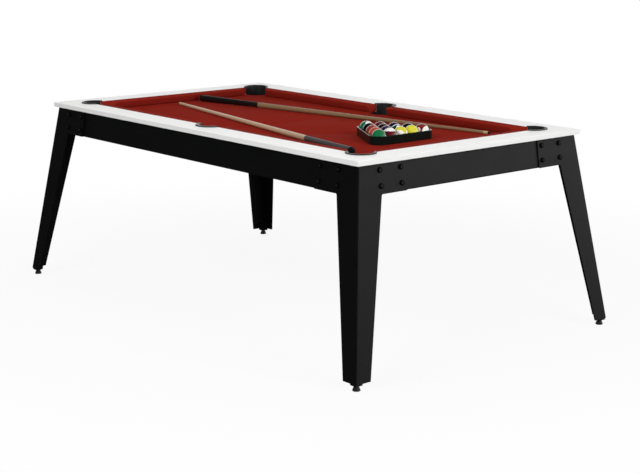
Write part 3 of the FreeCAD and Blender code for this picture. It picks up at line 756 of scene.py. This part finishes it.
# Balls: fifteen balls cast in phenolic resin, turned true and polished to a hard gloss.
# Solid balls are one colour with a white number spot; striped ones are white with a band.
# Each lies turned as it was racked, so the band and the spot point their own way.
ball_radius = 0.0286
ball_pitch = 0.0575
ball_height = 0.7929
rack_centre_x = 0.566
rack_centre_y = -0.01298
rack_rows = 5
ivory = "#E8E6E0"
spot_share = 0.34
band_share = 0.55
resin_cloud_mm = 18
resin_cloud_saturation = 0.92
resin_cloud_value = 0.94
ball_looks = (  # colour, striped, and the azimuth, elevation and spin of its own Z in degrees
    ("#0F6B45", True, 9, 23, 5),
    ("#050507", False, 0, 90, 40),
    ("#5A080C", False, 0, 90, 60),
    ("#8A2A18", False, 0, 90, 35),
    ("#1C0C0A", False, 0, 90, 55),
    ("#220A33", False, 0, 90, 47),
    ("#A8432A", False, 0, 90, 47),
    ("#2A0C3C", False, 0, 90, 62),
    ("#173F2C", True, 163, 45, 174),
    ("#0A0F0D", False, 0, 90, 50),
    ("#0E6A3E", False, 0, 90, 38),
    ("#5C0A14", True, 137, 84, 264),
    ("#D0C61C", True, -61, -17, 99),
    ("#D6CE1E", False, 0, 90, 52),
    ("#7A0F0C", True, 11, -9, 253),
)


def ball_turn(azimuth, elevation, spin):
    """Euler angles that point a ball's own Z this way, after a spin about it."""
    heading = Matrix.Rotation(math.radians(azimuth), 3, "Z")
    tilt = Matrix.Rotation(math.radians(90 - elevation), 3, "Y")
    return (heading @ tilt @ Matrix.Rotation(math.radians(spin), 3, "Z")).to_euler()


def phenolic(number, centre, colour, striped, *turn):
    """Cast resin: faint clouds under a hard gloss, with a white spot at both ends of one axis."""
    finish, tree, place = new_finish("phenolic_resin_" + str(number), centre, ball_turn(*turn))
    axes = add_node(tree, "ShaderNodeSeparateXYZ", {}, {"Vector": place})
    clouds = noise(tree, place, resin_cloud_mm, detail=2)
    tint = add_node(
        tree, "ShaderNodeHueSaturation",
        {"Saturation": resin_cloud_saturation, "Value": resin_cloud_value, "Color": linear(colour)}, {})
    clouded = add_node(
        tree, "ShaderNodeMix", {"data_type": "RGBA", mix_a: linear(colour)},
        {mix_share: clouds, mix_b: tint.outputs["Color"]})
    latitude = add_node(tree, "ShaderNodeMath", {"operation": "ABSOLUTE"}, {0: axes.outputs["Z"]})
    radius_mm = ball_radius / mm
    band_mm = band_share * radius_mm if striped else 2 * radius_mm  # a solid ball is all band
    beyond_band = add_node(
        tree, "ShaderNodeMath", {"operation": "GREATER_THAN", 1: band_mm}, {0: latitude.outputs["Value"]})
    reach = add_node(tree, "ShaderNodeMath", {"operation": "ABSOLUTE"}, {0: axes.outputs["X"]})
    in_spot = add_node(
        tree, "ShaderNodeMath",
        {"operation": "GREATER_THAN", 1: radius_mm * math.sqrt(1 - spot_share ** 2)},
        {0: reach.outputs["Value"]})
    white = add_node(
        tree, "ShaderNodeMath", {"operation": "MAXIMUM"},
        {0: beyond_band.outputs["Value"], 1: in_spot.outputs["Value"]})
    tone = add_node(
        tree, "ShaderNodeMix", {"data_type": "RGBA", mix_b: linear(ivory)},
        {mix_share: white.outputs["Value"], mix_a: clouded.outputs[mixed]})
    close_finish(
        tree, {"IOR": 1.6, "Roughness": 0.09, "Coat Weight": 0.3, "Coat Roughness": 0.04},
        {"Base Color": tone.outputs[mixed]})
    return finish


def rack_places():
    """Centres of the fifteen balls, row by row from the rack's tip."""
    places = []
    tip = rack_centre_x - (rack_rows - 1) * ball_pitch / math.sqrt(3)
    for row in range(rack_rows):
        for place in range(row + 1):
            along = tip + row * ball_pitch * math.sqrt(3) / 2
            across = rack_centre_y + (place - row / 2) * ball_pitch
            places.append((along, across, ball_height))
    return places


for number, (centre, look) in enumerate(zip(rack_places(), ball_looks), start=1):
    dress(["ball_" + str(number)], phenolic(number, centre, *look))

# Cues: two long maple cues, turned to a taper, sanded and lacquered, with a fibre ferrule,
# a leather tip, a grip wound with thread and a rubber bumper on the butt.
# One is pale with a grey grip; the other is darker, with a grip that is nearly black.
cue_length = 1.616
butt_radius = 0.015
grip_end_radius = 0.011
tip_radius = 0.006
grip_length = 0.364
bumper_length = 0.011
ferrule_length = 0.022
tip_length = 0.009
cue_rest_gap = 0.0003
shaft_shares = (0, 0.25, 0.5, 0.75, 1)
tip_crown_shares = ((1, 1), (0.88, 0.5), (0.62, 0.15), (0.3, 0))  # radius, depth below the end
bumper_shares = ((0.55, 0), (0.8, 0.12), (0.95, 0.32), (1, 0.55), (1, 1))  # radius, length
ridge_length = 0.006
ridge_count = 3
ridge_groove_share = 0.985
ridge_groove_place = 0.2
ridge_crest_place = 0.5
front_cue = {"name": "front", "butt": (0.766, -0.382), "turn": 168.2994}
rear_cue = {"name": "rear", "butt": (-0.848, 0.09322), "turn": 10.1501}
front_wood_colours = ("#A2866A", "#C2A384")
rear_wood_colours = ("#71593F", "#896E51")
wood_ring_mm = 7
wood_ring_depth_mm = 0.05
wood_stretch = 0.02
front_thread_colours = ("#363232", "#564F4F")
rear_thread_colours = ("#0E0B0C", "#1E1715")
grip_thread_mm = 3.2
grip_thread_depth_mm = 0.3
grip_wear_mm = 25
unit_wave = math.pi / 10  # the length of one wave of a Wave Texture node at scale 1


def shaft_radius(distance):
    """Radius of a cue's wood at this distance from the butt."""
    share = (distance - grip_length) / (cue_length - grip_length)
    return grip_end_radius + (tip_radius - grip_end_radius) * share


def grip_radius(distance):
    """Radius of the grip at this distance from the butt."""
    share = (distance - bumper_length) / (grip_length - bumper_length)
    return butt_radius + (grip_end_radius - butt_radius) * share


def lay_down(piece, cue):
    """Lay a piece that was turned upright: butt and tip both rest on the cloth."""
    drop = math.asin((butt_radius - tip_radius) / cue_length)
    piece.rotation_euler = (0, math.radians(90) + drop, math.radians(cue["turn"]))
    piece.location = (*cue["butt"], bed_top + cue_rest_gap + butt_radius)
    only(piece)
    bpy.ops.object.transform_apply(location=True, rotation=True, scale=True)


def along_cue(name, cue):
    """Start a material whose pattern's X runs along this cue from its butt."""
    centre = (*cue["butt"], bed_top + butt_radius)
    return new_finish(name + cue["name"], centre, (0, 0, math.radians(cue["turn"])))


def cue_wood(cue, colours):
    """Maple. Its grain runs along the cue; the rings are drawn at 7 mm to show as streaks."""
    finish, tree, place = along_cue("lacquered_maple_", cue)
    stretched = add_node(tree, "ShaderNodeMapping", {"Scale": (wood_stretch, 1, 1)}, {"Vector": place})
    grain = noise(tree, stretched.outputs["Vector"], wood_ring_mm, detail=5, distortion=0.4)
    close_finish(
        tree, {"IOR": 1.5, "Roughness": 0.38, "Coat Weight": 0.35, "Coat Roughness": 0.2},
        {"Base Color": two_tones(tree, colours, grain),
         "Normal": relief(tree, 0.1, wood_ring_depth_mm, grain)})
    return finish


def wound_thread(cue, colours):
    """Linen thread round the grip. Real turns are 0.7 mm apart and are drawn at 3.2 mm to show."""
    finish, tree, place = along_cue("wound_linen_", cue)
    turns = add_node(
        tree, "ShaderNodeTexWave",
        {"bands_direction": "X", "Scale": unit_wave / grip_thread_mm, "Distortion": 0.3}, {"Vector": place})
    wear = noise(tree, place, grip_wear_mm, detail=4)
    worn_turns = add_node(
        tree, "ShaderNodeMath", {"operation": "MULTIPLY"}, {0: turns.outputs["Fac"], 1: wear})
    close_finish(
        tree, {"Roughness": 0.5, "Specular IOR Level": 0.4},
        {"Base Color": two_tones(tree, colours, worn_turns.outputs["Value"]),
         "Normal": relief(tree, 0.5, grip_thread_depth_mm, turns.outputs["Fac"])})
    return finish


def plain_mix(name, colours, cloud_mm, roughness):
    """Fibre, leather or rubber: plain and dull, with small clouds of two near tones up close."""
    finish, tree, place = new_finish(name)
    clouds = noise(tree, place, cloud_mm, detail=3)
    close_finish(tree, {"Roughness": roughness}, {"Base Color": two_tones(tree, colours, clouds)})
    return finish


def make_cue(cue, wood, thread, fibre, leather, rubber):
    """Turn the pieces of one cue upright, lay them down and give each its finish."""
    name = cue["name"]
    body = "cue_" + name
    shaft_end = cue_length - ferrule_length - tip_length
    ferrule_end = cue_length - tip_length
    shaft_places = [grip_length + share * (shaft_end - grip_length) for share in shaft_shares]
    shaft = turned_piece("maple_shaft_" + name, [(shaft_radius(place), place) for place in shaft_places])
    ferrule = turned_piece(
        "fibre_ferrule_" + name,
        [(shaft_radius(shaft_end), shaft_end), (shaft_radius(ferrule_end), ferrule_end)])
    crown = tip_radius / 2
    tip = turned_piece(
        "leather_tip_" + name,
        [(shaft_radius(ferrule_end), ferrule_end)]
        + [(across * tip_radius, cue_length - down * crown) for across, down in tip_crown_shares])
    grip_outline = [(grip_radius(bumper_length), bumper_length)]
    for ridge in range(ridge_count):
        start = bumper_length + ridge * ridge_length
        radius = grip_radius(start)
        grip_outline.append((radius * ridge_groove_share, start + ridge_groove_place * ridge_length))
        grip_outline.append((radius, start + ridge_crest_place * ridge_length))
    grip_outline.append((grip_radius(grip_length - ridge_length), grip_length - ridge_length))
    grip_outline.append((grip_end_radius, grip_length))
    grip = turned_piece("wound_grip_" + name, grip_outline)
    bumper = turned_piece(
        "rubber_bumper_" + name,
        [(across * butt_radius, along * bumper_length) for across, along in bumper_shares])
    for piece, finish, slot, nodes in (
            (shaft, wood, "cue_" + name + "_wood", ["cue_" + name + "_shaft"]),
            (ferrule, fibre, None, ()),
            (tip, leather, None, ()),
            (grip, thread, "cue_" + name + "_grip", ["cue_" + name + "_grip"]),
            (bumper, rubber, "cue_rubber", ["cue_" + name + "_bumper"])):
        lay_down(piece, cue)
        smoothed(piece, 40)
        coated(piece, finish, body, nodes)


ferrule_fibre = plain_mix("vulcanised_tan_fibre", ("#AF9168", "#BDA078"), cloud_mm=3, roughness=0.4)
tip_leather = plain_mix("pressed_dark_leather", ("#1A1712", "#26211A"), cloud_mm=1.5, roughness=0.85)
bumper_rubber = plain_mix("moulded_black_rubber", ("#08080A", "#0E0E10"), cloud_mm=4, roughness=0.8)
for cue, wood_colours, thread_colours in (
        (front_cue, front_wood_colours, front_thread_colours),
        (rear_cue, rear_wood_colours, rear_thread_colours)):
    make_cue(
        cue, cue_wood(cue, wood_colours), wound_thread(cue, thread_colours),
        ferrule_fibre, tip_leather, bumper_rubber)

# Studio: a matt vinyl floor, soft lamps at the right, above and in front, and the photograph's viewpoint.
# Floor and world are white to the camera, and the world also through glass. The white lights nothing.
# Reflections see a dim room with a pale horizon behind the table, so the long side stays nearly black.
plain_white = (1, 1, 1, 1)
floor_size = 40
floor_sides = 96
floor_colour = "#4A4A4A"
floor_lift = 0.91
floor_fade = (1.2, 3.2)
horizon_way = (-0.35, 0.6)  # how far round to +Y the horizon's light begins and is full
horizon_light = (0.02, 1.2)
horizon_rise = (0.15, 0.6)  # how far up to +Z it begins to fade and is as dim as the sky
sky_light = 0.12
mirrored_horizon = 1.5
lamps = (  # name, place, what it points at, side and watts
    ("key", (5.6, 0.2, 2.3), (0, 0, 0.7), 3.0, 215),
    ("top", (-1.0, 0.4, 4.4), (-0.2, 0, 0.7), 3.5, 48),
    ("fill", (1.0, -5.4, 3.0), (0, 0, 0.8), 4.0, 290),
)
camera_place = (4.826, -3.9681, 1.6687)
camera_azimuth = 49.810
camera_elevation = 12.619
camera_roll = 0.048
camera_lens = 83.49
camera_sensor = 36


def make_floor():
    """A large floor that keeps the table's shadow and fades to plain white far away."""
    bpy.ops.object.select_all(action="DESELECT")
    bpy.ops.mesh.primitive_circle_add(
        vertices=floor_sides, radius=floor_size, fill_type="NGON", location=(0, 0, 0))
    floor = settle("studio_floor")
    finish = bpy.data.materials.new("matt_studio_vinyl")
    finish.use_nodes = True
    tree = finish.node_tree
    tree.nodes.clear()
    coordinates = add_node(tree, "ShaderNodeTexCoord", {}, {})
    distance = add_node(
        tree, "ShaderNodeVectorMath", {"operation": "LENGTH"}, {0: coordinates.outputs["Object"]})
    far = add_node(
        tree, "ShaderNodeMapRange",
        {"interpolation_type": "SMOOTHSTEP", "From Min": floor_fade[0], "From Max": floor_fade[1]},
        {"Value": distance.outputs["Value"]})
    path = add_node(tree, "ShaderNodeLightPath", {}, {})
    hidden = add_node(
        tree, "ShaderNodeMath", {"operation": "MULTIPLY"},
        {0: far.outputs["Result"], 1: path.outputs["Is Camera Ray"]})
    diffuse = add_node(tree, "ShaderNodeBsdfDiffuse", {"Color": linear(floor_colour)}, {})
    lift = add_node(
        tree, "ShaderNodeMath", {"operation": "MULTIPLY", 1: floor_lift}, {0: path.outputs["Is Camera Ray"]})
    glow = add_node(tree, "ShaderNodeEmission", {"Color": plain_white}, {"Strength": lift.outputs["Value"]})
    near = add_node(tree, "ShaderNodeAddShader", {}, {0: diffuse.outputs[0], 1: glow.outputs[0]})
    white = add_node(tree, "ShaderNodeEmission", {"Color": plain_white, "Strength": 1.0}, {})
    surface = add_node(
        tree, "ShaderNodeMixShader", {},
        {0: hidden.outputs["Value"], 1: near.outputs[0], 2: white.outputs[0]})
    add_node(tree, "ShaderNodeOutputMaterial", {}, {"Surface": surface.outputs[0]})
    floor.data.materials.append(finish)


def make_world():
    """White to the camera and through glass; for the rest, a pale horizon towards +Y in a dim room."""
    world = bpy.data.worlds.new("studio")
    bpy.context.scene.world = world
    world.use_nodes = True
    tree = world.node_tree
    tree.nodes.clear()
    coordinates = add_node(tree, "ShaderNodeTexCoord", {}, {})
    axes = add_node(tree, "ShaderNodeSeparateXYZ", {}, {"Vector": coordinates.outputs["Generated"]})
    ahead = add_node(
        tree, "ShaderNodeMapRange",
        {"From Min": horizon_way[0], "From Max": horizon_way[1],
         "To Min": horizon_light[0], "To Max": horizon_light[1]},
        {"Value": axes.outputs["Y"]})
    low = add_node(
        tree, "ShaderNodeMapRange",
        {"From Min": horizon_rise[0], "From Max": horizon_rise[1], "To Min": 1, "To Max": sky_light},
        {"Value": axes.outputs["Z"]})
    bright = add_node(
        tree, "ShaderNodeMath", {"operation": "MULTIPLY"},
        {0: ahead.outputs["Result"], 1: low.outputs["Result"]})
    path = add_node(tree, "ShaderNodeLightPath", {}, {})
    gain = add_node(
        tree, "ShaderNodeMapRange", {"To Min": 1, "To Max": mirrored_horizon},
        {"Value": path.outputs["Is Glossy Ray"]})
    strength = add_node(
        tree, "ShaderNodeMath", {"operation": "MULTIPLY"},
        {0: bright.outputs["Value"], 1: gain.outputs["Result"]})
    light = add_node(
        tree, "ShaderNodeBackground", {"Color": plain_white}, {"Strength": strength.outputs["Value"]})
    white = add_node(tree, "ShaderNodeBackground", {"Color": plain_white, "Strength": 1.0}, {})
    seen = add_node(
        tree, "ShaderNodeMath", {"operation": "MAXIMUM"},
        {0: path.outputs["Is Camera Ray"], 1: path.outputs["Is Transmission Ray"]})
    surface = add_node(
        tree, "ShaderNodeMixShader", {}, {0: seen.outputs["Value"], 1: light.outputs[0], 2: white.outputs[0]})
    add_node(tree, "ShaderNodeOutputWorld", {}, {"Surface": surface.outputs[0]})


def make_lamp(name, place, aim, size, power):
    """A soft square lamp that points at the aim and isn't seen in reflections."""
    data = bpy.data.lights.new(name, "AREA")
    data.shape = "SQUARE"
    data.size = size
    data.energy = power
    lamp = bpy.data.objects.new(name, data)
    bpy.context.collection.objects.link(lamp)
    lamp.location = place
    lamp.rotation_euler = (Vector(aim) - Vector(place)).to_track_quat("-Z", "Y").to_euler()
    lamp.visible_glossy = False


def make_camera():
    """The photograph's viewpoint."""
    data = bpy.data.cameras.new("camera")
    data.lens = camera_lens
    data.sensor_width = camera_sensor
    data.clip_end = 3 * floor_size
    camera = bpy.data.objects.new("camera", data)
    bpy.context.collection.objects.link(camera)
    heading = Matrix.Rotation(math.radians(camera_azimuth), 4, "Z")
    tilt = Matrix.Rotation(math.radians(90 - camera_elevation), 4, "X")
    roll = Matrix.Rotation(math.radians(camera_roll), 4, "Z")
    camera.matrix_world = Matrix.Translation(camera_place) @ heading @ tilt @ roll
    bpy.context.scene.camera = camera


make_floor()
make_world()
for lamp in lamps:
    make_lamp(*lamp)
make_camera()
bpy.context.scene.view_settings.view_transform = "Standard"
